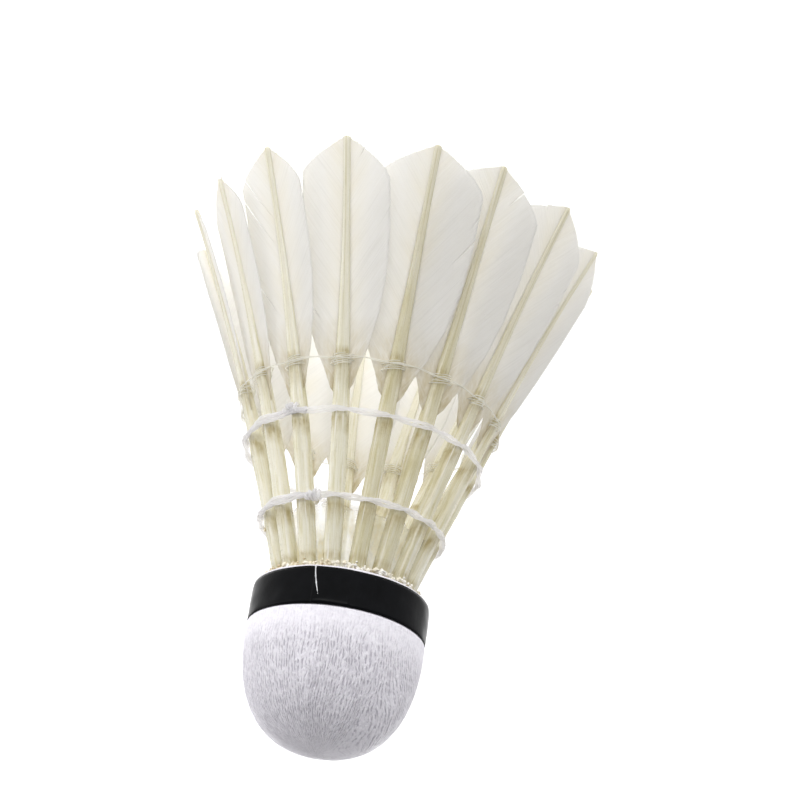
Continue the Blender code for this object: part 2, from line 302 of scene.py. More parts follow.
class Nodes:
    """A short way to write a procedural material."""

    def __init__(self, name):
        self.material = bpy.data.materials.new(name)
        self.material.use_nodes = True
        self.tree = self.material.node_tree
        self.shader = self.tree.nodes["Principled BSDF"]

    def feed(self, value, socket):
        """Gives a socket a number or a colour, or links it to another node's output."""
        if isinstance(value, (int, float)):
            socket.default_value = value
        elif isinstance(value, tuple):
            socket.default_value = (*value, 1.0)[: len(socket.default_value)]
        else:
            self.tree.links.new(value, socket)

    def add(self, kind, inputs, **settings):
        node = self.tree.nodes.new("ShaderNode" + kind)
        for key, value in settings.items():
            setattr(node, key, value)
        for key, value in inputs.items():
            self.feed(value, node.inputs[key])
        return node

    def coordinates(self, output, scale=(1.0, 1.0, 1.0)):
        vector = self.add("TexCoord", {}).outputs[output]
        return self.add("Mapping", {"Vector": vector, "Scale": scale}).outputs["Vector"]

    def split(self, vector):
        node = self.add("SeparateXYZ", {"Vector": vector})
        return [node.outputs[axis] for axis in "XYZ"]

    def relief(self):
        """The number that the mesh keeps in its second UV map."""
        return self.split(self.add("UVMap", {}, uv_map="Relief").outputs["UV"])[0]

    def noise(self, vector, scale, detail, rough):
        inputs = {"Vector": vector, "Scale": scale, "Detail": detail, "Roughness": rough}
        return self.add("TexNoise", inputs).outputs["Fac"]

    def streaks(self, across, along, detail=2.0, rough=0.55):
        """Noise with so many cells to each unit of u and of v."""
        return self.noise(self.coordinates("UV", (across, along, 1.0)), 1.0, detail, rough)

    def grain(self, scale, detail, rough):
        """Noise through the object, with so many cells to a metre."""
        return self.noise(self.coordinates("Object"), scale, detail, rough)

    def cells(self, scale):
        vector = self.coordinates("Object")
        return self.add("TexVoronoi", {"Vector": vector, "Scale": scale}).outputs["Distance"]

    def ramp(self, factor, *stops):
        node = self.add("ValToRGB", {"Fac": factor})
        elements = node.color_ramp.elements
        while len(elements) < len(stops):
            elements.new(0.5)
        for element, (position, *colour) in zip(elements, stops):
            element.position = position
            element.color = (*colour, 1.0)
        return node.outputs["Color"]

    def level(self, factor, low, high, start=0.0, end=1.0):
        """Goes from low to high while the factor goes from start to end."""
        inputs = {"Value": factor, "From Min": start, "From Max": end, "To Min": low, "To Max": high}
        return self.add("MapRange", inputs).outputs["Result"]

    def maths(self, operation, first, second=0.0):
        return self.add("Math", {0: first, 1: second}, operation=operation).outputs["Value"]

    def times(self, first, second):
        return self.maths("MULTIPLY", first, second)

    def blend(self, factor, first, second):
        node = self.add("Mix", {}, data_type="RGBA")
        for value, socket in zip((factor, first, second), [s for s in node.inputs if s.enabled]):
            self.feed(value, socket)
        return next(s for s in node.outputs if s.enabled)

    def bump(self, height, strength, distance, after=None):
        inputs = {"Height": height, "Strength": strength, "Distance": distance}
        if after is not None:
            inputs["Normal"] = after
        return self.add("Bump", inputs).outputs["Normal"]

    def finish(self, colour, roughness, normal=None, **others):
        """Sets the main shader's sockets and gives the material."""
        values = {"Base Color": colour, "Roughness": roughness, **others}
        if normal is not None:
            values["Normal"] = normal
        for key, value in values.items():
            self.feed(value, self.shader.inputs[key.replace("_", " ")])
        return self.material

    def let_through(self, share, colour, normal):
        """Mixes in light that comes through from behind."""
        through = self.add("BsdfTranslucent", {"Color": colour, "Normal": normal}).outputs["BSDF"]
        mix = self.add("MixShader", {"Fac": share, 1: self.shader.outputs["BSDF"], 2: through})
        self.feed(mix.outputs["Shader"], self.tree.nodes["Material Output"].inputs["Surface"])


def vane_material():
    """Feather vane: u counts barbs along the shaft, v is millimetres out along a barb."""
    m = Nodes("feather_vane")
    streaks = m.noise(m.coordinates("UV", (1.0, 0.35, 1.0)), 0.9, 2.0, 0.6)
    patches = m.streaks(0.10, 0.16, 2.0, 0.5)
    base = m.ramp(streaks, (0.25, 0.90, 0.89, 0.865), (0.5, 0.93, 0.925, 0.908), (0.75, 0.955, 0.95, 0.943))
    _, out, _ = m.split(m.coordinates("UV"))
    creamy = m.times(m.level(out, 0.35, 0.0, 0.4, 4.0), m.level(patches, 0.3, 1.4, 0.3, 0.7))
    colour = m.blend(creamy, base, (0.87, 0.82, 0.67))
    # the vane is dull towards its foot, most of all beside the shaft
    _, _, height = m.split(m.coordinates("Object"))
    foot = m.level(height, 0.0, 1.0, VANE_FOOT_Z - 0.013, VANE_FOOT_Z - 0.003)
    dull = m.times(foot, m.level(out, 1.0, 0.5, 1.2, 3.8))
    dull = m.times(dull, m.level(m.streaks(0.22, 1.1, 3.0, 0.65), 0.35, 1.0, 0.36, 0.62))
    colour = m.blend(dull, colour, (0.58, 0.50, 0.31))
    pale_barbs = m.level(m.streaks(1.3, 0.12, 2.0, 0.5), 0.0, 0.8, 0.56, 0.72)
    colour = m.blend(pale_barbs, colour, (0.98, 0.975, 0.965))
    grey_barbs = m.level(m.streaks(1.6, 0.15, 2.0, 0.5), 0.45, 0.0, 0.32, 0.46)
    colour = m.blend(grey_barbs, colour, (0.76, 0.755, 0.735))
    normal = m.bump(m.streaks(2.2, 0.5, 1.0), 0.40, 0.00012)
    normal = m.bump(m.streaks(9.0, 9.0), 0.12, 0.00004, normal)
    glow = m.blend(creamy, (0.965, 0.957, 0.936), (0.92, 0.88, 0.76))
    m.let_through(0.50, m.blend(dull, glow, (0.66, 0.59, 0.39)), normal)
    return m.finish(colour, m.level(streaks, 0.45, 0.62), normal, Sheen_Weight=0.10, Specular_IOR_Level=0.3)


def shaft_material():
    """Horn shaft: u goes round it, v is millimetres along it from the tip."""
    m = Nodes("feather_shaft")
    streaks = m.streaks(34.0, 0.22, 3.0, 0.65)
    blotches = m.streaks(7.0, 0.30, 4.0, 0.65)
    tone = m.maths("ADD", m.times(streaks, 0.6), m.times(m.streaks(9.0, 0.10, 2.0, 0.5), 0.4))
    horn = (0.33, 0.60, 0.56, 0.34), (0.42, 0.80, 0.765, 0.57), (0.52, 0.92, 0.90, 0.77)
    colour = m.ramp(tone, *horn, (0.64, 0.97, 0.96, 0.90))
    dark = m.level(m.streaks(8.0, 0.11, 4.0, 0.65), 0.0, 0.75, 0.54, 0.70)
    colour = m.blend(dark, colour, (0.52, 0.46, 0.24))
    turn, along, _ = m.split(m.coordinates("UV"))
    colour = m.blend(m.level(along, 0.55, 0.0, 16.0, 34.0), colour, (0.95, 0.93, 0.82))
    aged = m.times(m.relief(), m.level(streaks, 1.0, 0.40, 0.38, 0.66))
    aged = m.times(aged, m.level(along, 0.35, 1.0, 4.0, 26.0))
    colour = m.blend(aged, colour, (0.62, 0.56, 0.28))
    # glue and grime sit just past each row of thread, on the cork's side of it
    patches = ((28.5, 34.5, 0.70), (37.8, 41.0, 0.80), (49.6, 53.0, 0.75), (56.5, 60.0, 0.65))
    for start, end, strength in patches:
        peak = start + 0.8
        patch = m.times(m.level(along, 0.0, 1.0, start, peak), m.level(along, 1.0, 0.0, peak, end))
        patch = m.times(patch, m.level(blotches, 0.1, 1.7 * strength, 0.38, 0.66))
        colour = m.blend(patch, colour, (0.46, 0.38, 0.17))
    # painted shade: a dark line down the outer face of the thin end stands in for the shade of a shallow
    # groove, which the mesh has only on the inner face
    off_middle = m.maths("SUBTRACT", m.maths("FRACT", m.maths("ADD", turn, 0.5)), 0.5)
    line = m.level(m.maths("ABSOLUTE", off_middle), 0.55, 0.0, 0.015, 0.05)
    line = m.times(line, m.level(along, 1.0, 0.0, 22.0, 34.0))
    colour = m.blend(line, colour, (0.60, 0.55, 0.34))
    # painted highlight: thin near-white streaks along the shaft stand in for glints on the glossy horn
    painted_highlight_streaks = m.level(m.streaks(20.0, 0.09, 2.0, 0.6), 0.0, 0.85, 0.58, 0.70)
    colour = m.blend(painted_highlight_streaks, colour, (0.985, 0.975, 0.93))
    scars = m.streaks(14.0, 3.2, 2.0, 0.7)
    normal = m.bump(scars, 0.25, 0.00008, m.bump(tone, 0.45, 0.00014))
    rough = m.level(scars, 0.20, 0.44, 0.3, 0.7)
    m.let_through(0.25, m.blend(aged, (0.94, 0.90, 0.72), (0.72, 0.62, 0.34)), normal)
    return m.finish(colour, rough, normal, Specular_IOR_Level=0.5, Coat_Weight=0.35, Coat_Roughness=0.12)


def leather_material():
    """Stretched kid: u counts creases round the base and leans with them, v is millimetres from the band."""
    m = Nodes("white_kid_leather")
    mottle = m.grain(1500.0, 3.0, 0.6)
    turn, run, _ = m.split(m.coordinates("UV"))
    # combed dashes that fade at the band and at the nose, broken up by noise
    phase = m.times(m.maths("ADD", turn, m.times(m.streaks(0.45, 0.35, 3.0, 0.6), 1.7)), TURN)
    gaps = m.level(m.streaks(1.4, 1.0, 2.0, 0.6), 0.0, 1.0, 0.42, 0.56)
    dashes = m.times(m.times(m.maths("SINE", phase), gaps), 0.30)
    ticks = m.times(m.maths("SUBTRACT", m.streaks(3.0, 1.3, 2.0, 0.6), 0.5), 0.9)
    middle = m.times(m.level(run, 0.20, 1.0, 1.5, 5.5), m.level(run, 1.0, 0.25, 15.0, 22.0))
    creased = m.maths("ADD", 0.5, m.times(m.maths("ADD", dashes, ticks), middle))
    base = m.ramp(mottle, (0.3, 0.835, 0.812, 0.875), (0.5, 0.885, 0.863, 0.922), (0.7, 0.915, 0.898, 0.950))
    # painted shade: the colour darkens where the creases' relief is low, in their valleys
    colour = m.blend(m.level(creased, 0.85, 0.0, 0.24, 0.50), base, (0.48, 0.455, 0.52))
    # painted shade: the colour is darker where the mesh's relief is low, along the wrinkles' grooves
    colour = m.blend(m.level(m.relief(), 0.50, 0.0, 0.0, 0.55), colour, (0.58, 0.56, 0.62))
    normal = m.bump(m.cells(2600.0), 0.35, 0.00014)
    normal = m.bump(mottle, 0.40, 0.00012, normal)
    normal = m.bump(creased, 0.9, 0.0003, normal)
    return m.finish(colour, m.level(mottle, 0.38, 0.58), normal, Specular_IOR_Level=0.15)


def tape_material():
    m = Nodes("glossy_black_tape")
    mottle = m.grain(260.0, 3.0, 0.6)
    colour = m.ramp(mottle, (0.3, 0.0030, 0.0032, 0.0036), (0.7, 0.0060, 0.0064, 0.0075))
    normal = m.bump(m.grain(320.0, 2.0, 0.5), 0.25, 0.0002)
    normal = m.bump(m.grain(2600.0, 2.0, 0.6), 0.06, 0.00004, normal)
    return m.finish(colour, m.level(mottle, 0.12, 0.26, 0.3, 0.7), normal, Specular_IOR_Level=0.045)


def lap_highlight_material():
    # painted highlight: the near-white colour on the black tape stands in for the reflection off the lap edge
    m = Nodes("painted_lap_highlight")
    tone = m.grain(1800.0, 3.0, 0.6)
    colour = m.ramp(tone, (0.35, 0.45, 0.46, 0.48), (0.6, 0.85, 0.86, 0.88))
    normal = m.bump(tone, 0.4, 0.00005)
    return m.finish(colour, m.level(tone, 0.12, 0.35), normal, Specular_IOR_Level=0.5)


def thread_material():
    """Cotton: v is millimetres along the strand."""
    m = Nodes("cotton_thread")
    strands = m.streaks(9.0, 1.6, 3.0, 0.6)
    soil = m.grain(300.0, 2.0, 0.5)
    colour = m.ramp(strands, (0.3, 0.93, 0.925, 0.93), (0.5, 0.97, 0.968, 0.972), (0.8, 0.985, 0.985, 0.988))
    colour = m.blend(m.level(soil, 0.0, 0.22, 0.58, 0.8), colour, (0.92, 0.89, 0.83))
    normal = m.bump(strands, 0.5, 0.00008)
    m.let_through(0.80, (0.995, 0.99, 0.995), normal)
    return m.finish(colour, m.level(soil, 0.45, 0.75), normal, Sheen_Weight=0.4, Specular_IOR_Level=0.4)


def fine_thread_material():
    m = Nodes("fine_thread")
    strands = m.streaks(6.0, 2.5, 2.0, 0.6)
    colour = m.ramp(strands, (0.3, 0.92, 0.91, 0.86), (0.7, 0.98, 0.975, 0.95))
    normal = m.bump(strands, 0.4, 0.00005)
    m.let_through(0.75, (0.99, 0.985, 0.95), normal)
    rough = m.level(strands, 0.22, 0.42)
    return m.finish(colour, rough, normal, Specular_IOR_Level=0.5, Coat_Weight=0.4, Coat_Roughness=0.12)


def glue_film_material():
    """Thin glue between the quills: u counts the gaps round the base, v is millimetres above the tips."""
    m = Nodes("glue_film")
    streaks = m.streaks(2.6, 0.22, 3.0, 0.65)
    clots = m.streaks(5.0, 1.3, 2.0, 0.6)
    colour = m.ramp(streaks, (0.36, 0.76, 0.69, 0.46), (0.5, 0.94, 0.91, 0.76), (0.62, 0.98, 0.97, 0.90))
    colour = m.blend(m.level(clots, 0.0, 0.4, 0.58, 0.75), colour, (0.80, 0.68, 0.42))
    normal = m.bump(clots, 0.4, 0.0001, m.bump(streaks, 0.5, 0.00015))
    _, height, _ = m.split(m.coordinates("UV"))
    near_cork = m.level(height, 0.35, 0.98, FILM_CLEAR_Z / MM, FILM_CLOUDY_Z / MM)
    cover = m.times(near_cork, m.level(streaks, 1.0, 0.62, 0.36, 0.62))
    return m.finish(colour, m.level(clots, 0.15, 0.45), normal, Specular_IOR_Level=0.5, Alpha=cover)


def glue_material():
    m = Nodes("hardened_glue")
    ripple = m.grain(900.0, 3.0, 0.6)
    tone = m.grain(260.0, 2.0, 0.5)
    colour = m.ramp(tone, (0.3, 0.72, 0.56, 0.30), (0.5, 0.92, 0.85, 0.66), (0.65, 0.97, 0.96, 0.92))
    normal = m.bump(ripple, 0.35, 0.0001)
    wet = {"Specular IOR Level": 0.6, "Coat Weight": 0.5, "Coat Roughness": 0.05}
    return m.finish(colour, m.level(ripple, 0.05, 0.16), normal, Transmission_Weight=0.08, IOR=1.47, **wet)


def cork_material(name, scale, specks):
    m = Nodes(name)
    tone = m.grain(scale * 0.5, 4.0, 0.65)
    colour = m.ramp(tone, (0.3, 0.42, 0.27, 0.14), (0.5, 0.62, 0.43, 0.25), (0.7, 0.74, 0.56, 0.36))
    pits = m.level(m.grain(scale * 1.7, 3.0, 0.7), 0.0, specks, 0.56, 0.70)
    colour = m.blend(pits, colour, (0.20, 0.11, 0.06))
    normal = m.bump(tone, 0.5, 0.0002, m.bump(m.cells(scale), 0.4, 0.0002))
    return m.finish(colour, m.level(tone, 0.7, 0.92), normal)


# --- feathers ---


def feather_radius(height):
    """Distance of a shaft's centre from the axis at a height."""
    share = height / CORK_FACE_Z
    return TIP_RADIUS - FEATHER_SLOPE * height - 4.0 * FEATHER_BOW * share * (1.0 - share)


def shaft_half(height):
    grown = smoothstep(height, *SHAFT_THICKENS)
    return 0.5 * (SHAFT_TIP_WIDTH + (SHAFT_WIDTH - SHAFT_TIP_WIDTH) * grown)


def swirl(height):
    """How far round the shafts have leant at a height."""
    return SWIRL * (1.0 - height / CORK_FACE_Z)


def place_along(turn, radius, along, height):
    """Points from their radial and tangential offsets, on a radius turned round the axis."""
    x = radius * np.cos(turn) - along * np.sin(turn)
    y = radius * np.sin(turn) + along * np.cos(turn)
    return np.stack(np.broadcast_arrays(x, y, height), -1)


def place_feather(number, height, out, along):
    """Points of one feather, from their radial and tangential offsets at their heights."""
    tipward = np.clip(1.0 - height / CORK_FACE_Z, 0.0, 1.1)
    along = along + TIP_LEAN.get(number, 0.0) * tipward * tipward
    turn = swirl(height) + TURN * (number - 1) / FEATHER_COUNT
    return place_along(turn, feather_radius(height) + out, along, height)


class Traits:
    """What is a little different on each feather."""

    def __init__(self, number):
        dice = np.random.default_rng(700 + number)
        self.number = number
        self.seed = 40 * number
        self.trim = TIP_TRIM.get(number, 0.0)
        self.width = {1: 1.0 + dice.uniform(-0.05, 0.05)}
        self.width[-1] = OUTER_WIDTH.get(number, dice.uniform(0.75, 1.0))
        self.foot = dice.uniform(-0.0008, 0.0008)
        self.curl = dice.uniform(-1.5, 2.5)
        self.dice = dice


def vane_reach(height, traits, side):
    """Half width of the vane on one side, at heights above the cut tip."""
    drop = INNER_TIP_DROP if side > 0 else OUTER_TIP_DROP
    height = height - traits.trim
    cut = 1.0 - np.maximum(1.0 - height / drop, 0.0) ** TIP_CURVE
    kept = np.interp(height - traits.foot, FOOT_HEIGHTS, FOOT_SHARES)
    return VANE_HALF_WIDTH * traits.width[side] * np.minimum(cut, kept)


def barb_run(reach):
    return BARB_SLOPE * reach + BARB_CURL * reach * reach


def barb_ends(starts, traits, side):
    """How far out each barb reaches before it meets the vane's outline."""
    reach = np.linspace(0.0, 1.4 * VANE_HALF_WIDTH, 500)
    over = reach >= vane_reach(starts[:, None] - barb_run(reach), traits, side)
    over[:, -1] = True
    over[:, 0] = False
    return reach[np.argmax(over, axis=1)]


def vane_lift(reach, height, half, side, traits):
    """How far the vane stands off the shaft's tangent plane."""
    out = np.maximum(reach - half, 0.0)
    tilt = -side * math.sin(VANE_TILT) * out
    fall = reach * reach / (2.0 * feather_radius(height))
    wave = 0.00007 * noise(height / 0.006, side * reach / 0.004, traits.seed)
    curl = traits.curl * reach * reach * smoothstep(height, 0.02, 0.0)
    return tilt - fall + wave * smoothstep(out, 0.0, 0.004) + curl


def vane_side(heap, traits, side):
    """One side of a vane: rows run out along the barbs, and three columns make each barb."""
    dice = traits.dice
    count = int((VANE_FOOT_Z + traits.foot) / BARB_PITCH)
    starts = traits.trim + 0.0001 + np.arange(count + 1) * BARB_PITCH
    starts[1:-1] += dice.uniform(-0.12, 0.12, count - 1) * BARB_PITCH
    ends = barb_ends(starts, traits, side)
    clear_of_shaft = ends > shaft_half(starts) + 0.00025
    last = int(np.max(np.nonzero(clear_of_shaft)))
    middle = 0.5 * (starts[:-1] + starts[1:])
    middle_ends = barb_ends(middle, traits, side) + dice.uniform(0.00004, 0.00016, count)
    splits = list(TORN.get((traits.number, side), ()))
    for _ in range(int(dice.integers(0, 3))):
        at = int(dice.integers(12, int(0.8 * count)))
        splits.append((at, dice.uniform(0.5, 0.9), dice.uniform(0.00004, 0.00013)))
    share = np.linspace(0.0, 1.0, BARB_ROWS + 1)
    frays = 0.00003 * dice.uniform(-1.0, 1.0, count) * (dice.random(count) > 0.9)

    def column(start, end, number, ridge=0.0, opening=1.0):
        root = 0.7 * shaft_half(start)
        reach = root + (max(end, root + 0.0002) - root) * share
        height = start - barb_run(reach)
        for at, depth, gap in splits:
            distance = number - at
            way = opening if distance == 0 else math.copysign(1.0, distance)
            pull = gap * math.exp(-abs(distance) / SPLIT_FADE)
            height = height + way * pull * smoothstep(share, depth, 1.05)
        half = shaft_half(height)
        out = 0.15 * half + vane_lift(reach, height, half, side, traits)
        return height, out + ridge * smoothstep(share, 0.0, 0.15), side * reach

    for j in range(min(last, count)):
        columns = (
            column(starts[j], ends[j], j),
            column(middle[j], middle_ends[j], j + 0.5, ridge=BARB_RIDGE + frays[j]),
            column(starts[j + 1], ends[j + 1], j + 1, opening=-1.0),
        )
        height, out, along = (np.stack(part) for part in zip(*columns))
        points = place_feather(traits.number, np.maximum(height, 0.5 * VANE_SHEET), out, along)
        across = j + np.array([0.0, 0.5, 1.0])[:, None]
        uvs = pairs(across + 100.0 * traits.number + 50.0 * side, np.abs(along) / MM)
        faces = grid_faces(3, BARB_ROWS + 1)
        heap.add(points, faces[:, ::-1] if side < 0 else faces, uvs)


def welded(points, faces, uvs):
    """Joins points that lie on each other."""
    keys = np.round(points / 2e-7).astype(np.int64)
    _, first, where = np.unique(keys, axis=0, return_index=True, return_inverse=True)
    faces = where.ravel()[np.asarray(faces)]
    whole = np.array([len(set(face)) == len(face) for face in faces.tolist()])
    return points[first], faces[whole], uvs[first]


def add_vane(traits, material):
    heap = Heap()
    vane_side(heap, traits, 1)
    vane_side(heap, traits, -1)
    points, faces, uvs = welded(np.concatenate(heap.points), heap.faces, np.concatenate(heap.uvs))
    obj = add_object(f"vane_{traits.number:02d}", points, faces, material, uvs)
    thicken = obj.modifiers.new("thicken", "SOLIDIFY")
    thicken.thickness = VANE_SHEET
    thicken.offset = 0.0
    return obj


def squared(wave):
    """A sine or cosine wave that makes a squarer circle."""
    return np.sign(wave) * np.abs(wave) ** (2.0 / SHAFT_EXPONENT)


def add_shaft(traits, material):
    """A horn shaft with soft corners, a shallow groove and the scars of stripped barbs."""
    rows = np.concatenate([np.linspace(traits.trim, CORK_FACE_Z, SHAFT_ROWS), [QUILL_END_Z]])
    angle = turn_steps(SHAFT_SIDES)
    height = rows[:, None] + np.zeros(SHAFT_SIDES)
    groove = 0.10 * np.exp(-((angle - math.pi) ** 2) / 0.10)
    rise = 0.04 * noise(angle * 2.0, height / 0.004, traits.seed + 1)
    bare = smoothstep(height, 0.030, 0.040)
    scars = 0.05 * bare * np.maximum(noise(height / 0.0007, angle * 1.5, traits.seed + 2), 0.0)
    reach = shaft_half(height) * (1.0 + rise - groove * (1.0 - bare) + scars)
    reach *= 0.75 + 0.25 * smoothstep(height, traits.trim, traits.trim + 0.0005)  # the tip is worn
    flat = 0.82 + 0.14 * bare  # the shaft is a little flatter along the vane
    out, along = reach * squared(np.cos(angle)) * flat, reach * squared(np.sin(angle))
    points = place_feather(traits.number, height, out, along)
    faces = ring_faces(len(rows), SHAFT_SIDES, "capped")
    uvs = pairs(angle / TURN + 3.0 * traits.number, height / MM)
    aged = np.full(height.size, AGED.get(traits.number, 0.0))
    return add_object(f"shaft_{traits.number:02d}", points, faces, material, uvs, aged)


def add_feathers(vane, shaft):
    for number in range(1, FEATHER_COUNT + 1):
        traits = Traits(number)
        node = f"feather_{number:02d}"
        settle(add_vane(traits, vane), node)
        settle(add_shaft(traits, shaft), node)


# --- threads ---


def row_radius(azimuth, height, gap):
    """A taut cord's distance from the axis: over each shaft, and straight between them."""
    step = TURN / FEATHER_COUNT
    off = (azimuth - swirl(height)) % step - 0.5 * step
    over = feather_radius(height) + shaft_half(height) + gap
    straight = over * np.cos(0.5 * step)
    return straight / np.cos(off) + 0.15 * (over - straight)


def ways_at(azimuth):
    """The ways outward, round and up."""
    return *ring_points(azimuth + np.array([0.0, 0.25 * TURN]), 1.0, 0.0), np.array([0.0, 0.0, 1.0])


def add_fibres(heap, azimuths, radius, height, dice, length):
    """Short loose fibres that stand off a cord."""
    for azimuth in azimuths:
        away, sideways, up = ways_at(azimuth)
        first = away * dice.uniform(0.2, 1.0) + sideways * dice.normal(0.0, 0.8) + up * dice.normal(0.0, 0.9)
        bend = sideways * dice.normal(0.0, 0.5) + up * dice.normal(0.0, 0.6)
        t = np.linspace(0.0, 1.0, 7)[:, None]
        reach = length * dice.uniform(0.4, 1.2)
        path = reach * (t * first / np.linalg.norm(first) + t * t * bend * 0.6)
        tube(heap, ring_points(azimuth, radius, height) + path, np.linspace(0.000016, 0.000007, 7), sides=4)


def add_knot(heap, azimuth, radius, height, dice, tails):
    """A small overhand knot on a cord: loops wound on each other, and cut ends."""
    centre = ring_points(azimuth, radius, height)
    away, sideways, up = ways_at(azimuth)
    t = np.linspace(0.0, 1.0, 70)[:, None]
    turns = TURN * 3.2 * t
    size = 0.00056 + 0.00013 * np.sin(2.3 * turns)
    path = centre + size * (np.cos(turns) * up + np.sin(turns) * away) + sideways * (t - 0.5) * 0.0022
    tube(heap, path, STRAND_RADIUS, ply_depth=0.15, ply_length=0.0012)
    for way_round, way_up, length in tails:
        way = sideways * way_round + up * way_up + away * 0.25
        s = np.linspace(0.0, 1.0, 16)[:, None]
        tail = centre + away * 0.0004 + length * (way * s + away * 0.25 * s * s - up * way_up * 0.15 * s**3)
        tube(heap, tail, 0.0002, ply_depth=0.2, ply_length=0.0012)
        for _ in range(16):
            spread = way + dice.normal(0.0, 0.7, 3)
            fray = 0.00045 * dice.uniform(0.4, 1.2) * np.linspace(0.0, 1.0, 6)[:, None]
            tube(heap, tail[-1] + fray * spread, 0.000014, sides=4)


def add_cord(name, height, material, knot, seed):
    """Two strands laid round each other over the shafts, tied once."""
    dice = np.random.default_rng(seed)
    heap = Heap()
    azimuth = turn_steps(1600)
    drift = 0.00013 * ring_noise(azimuth, 24, 0.0, seed)
    base = row_radius(azimuth, height, CORD_GAP)
    for phase in (0.0, math.pi):
        lay = CORD_LAYS * azimuth + 1.3 * ring_noise(azimuth, 16, 0.5, seed + 1) + phase
        path = ring_points(azimuth, base + 0.00021 * np.cos(lay), height + drift + 0.00030 * np.sin(lay))
        tube(heap, path, STRAND_RADIUS, sides=10, closed=True, **STRAND_PLIES)
    # the cord's two ends run side by side for a stretch before they are tied
    ends = np.linspace(*CORD_ENDS, 160)
    for gap, rise, phase in ((0.00060, 0.0001, 0.0), (0.00074, 0.00046, 1.9), (0.00066, -0.0003, 3.6)):
        lift = rise + 0.00022 * np.sin(CORD_LAYS * ends + seed + phase)
        path = ring_points(ends, row_radius(ends, height, gap), height + lift)
        tube(heap, path, 0.9 * STRAND_RADIUS, sides=10, **STRAND_PLIES)
    add_fibres(heap, dice.uniform(0.0, TURN, 420), np.mean(base) + 0.0002, height, dice, 0.0008)
    at, offset, tails = knot
    radius = row_radius(at, height, CORD_GAP)
    add_knot(heap, at, radius + 0.0001, height + offset, dice, tails)
    add_fibres(heap, at + dice.normal(0.0, 0.03, 40), radius + 0.0005, height + offset, dice, 0.0010)
    return heap.build(name, material)


def add_overlap_thread(material):
    """A fine clear thread round the feet of the vanes, wound a few times on each shaft."""
    dice = np.random.default_rng(91)
    heap = Heap()
    row = OVERLAP_THREAD_Z
    azimuth = turn_steps(1200)
    base = row_radius(azimuth, row, FINE_THREAD_GAP)
    for phase, rise in ((0.0, 0.00022), (2.1, -0.0002)):
        sway = rise * np.cos(FEATHER_COUNT * (azimuth - swirl(row)) + phase)
        sway = sway + 0.00015 * ring_noise(azimuth, FEATHER_COUNT, phase, 5)
        tube(heap, ring_points(azimuth, base, row + sway), FINE_THREAD_RADIUS, sides=6, closed=True)
    half = shaft_half(row) + 0.00012
    t = np.linspace(0.0, 1.0, 150)
    for number in range(FEATHER_COUNT):
        turn = TURN * (5.0 + dice.uniform(-0.4, 0.4)) * t + dice.uniform(0.0, 6.0)
        radius = feather_radius(row) + half * np.cos(turn) * 0.98
        reach = half + 0.0006 * (0.5 + 0.5 * np.sin(2.7 * turn + number))
        height = row + (t - 0.5) * 0.0017 + 0.0003 * np.sin(turn + 0.6)
        middle = swirl(row) + number * TURN / FEATHER_COUNT
        tube(heap, place_along(middle, radius, reach * np.sin(turn), height), FINE_THREAD_RADIUS, sides=6)
    return heap.build("overlap_thread_fine", material)


# --- glue ---


def droplet(heap, centre, size, seed):
    """A rounded blob, lumpy and stretched."""
    rows, sides = 7, 10
    polar = math.pi * np.arange(1, rows)[:, None] / rows
    unit = ring_points(turn_steps(sides), np.sin(polar), np.cos(polar)).reshape(-1, 3)
    unit = np.concatenate([unit, [[0.0, 0.0, 1.0], [0.0, 0.0, -1.0]]])
    lumps = 1.0 + 0.22 * noise(unit[:, 0] * 1.7 + seed, unit[:, 1] * 1.7, seed, z=unit[:, 2] * 1.7)
    faces = [face[::-1] for face in ring_faces(rows - 1, sides, "poles")]
    heap.add(centre + unit * lumps[:, None] * size, faces)


def add_glue(material):
    """A scalloped skirt of glue on the cork's face that climbs every shaft, with beads on it."""
    dice = np.random.default_rng(12)
    heap = Heap()
    azimuth = turn_steps(320)
    near = 0.5 + 0.5 * np.cos(FEATHER_COUNT * azimuth)
    climb = 0.0004 + 0.0006 * near**2 + 0.0003 * np.maximum(ring_noise(azimuth, 90, 0.3, 3), -0.5)
    width = 0.0111 + 0.0003 * near + 0.0004 * ring_noise(azimuth, 32, 0.0, 2) - GLUE_INNER_RADIUS
    rings = []
    for angle in np.linspace(0.0, 0.25 * TURN, 7):
        radius = GLUE_INNER_RADIUS + width * math.sin(angle)
        rings.append(ring_points(azimuth, radius, GLUE_TOP_Z - climb * math.cos(angle)))
    for share in (0.6, 0.0):
        rings.append(ring_points(azimuth, GLUE_INNER_RADIUS + width * share, GLUE_TOP_Z))
    heap.add(np.stack(rings), ring_faces(len(rings), len(azimuth), "joined"))
    for i in range(GLUE_BEADS):
        at = dice.uniform(0.0, TURN)
        radius = dice.uniform(0.0102, 0.0123)
        size = dice.uniform(0.00010, 0.00040, 3)
        droplet(heap, ring_points(at, radius, GLUE_TOP_Z - dice.uniform(0.0001, 0.0010)), size, i)
    for number in range(FEATHER_COUNT):
        for _ in range(BEADS_ON_A_SHAFT):
            height = CORK_FACE_Z - dice.uniform(0.0004, 0.0022)
            turn = dice.uniform(-1.4, 1.4)
            half = shaft_half(height)
            at = place_feather(number + 1, height, half * math.cos(turn), half * math.sin(turn))
            droplet(heap, at, dice.uniform(0.00010, 0.00030, 3), number * 7 + 3)
    for azimuth, height, size in GLUE_DROPS:
        centre = ring_points(azimuth, row_radius(azimuth, height, 0.0), height)
        droplet(heap, centre, size * np.array([0.7, 0.7, 1.0]), 55)
    return heap.build("glue_beads", material)


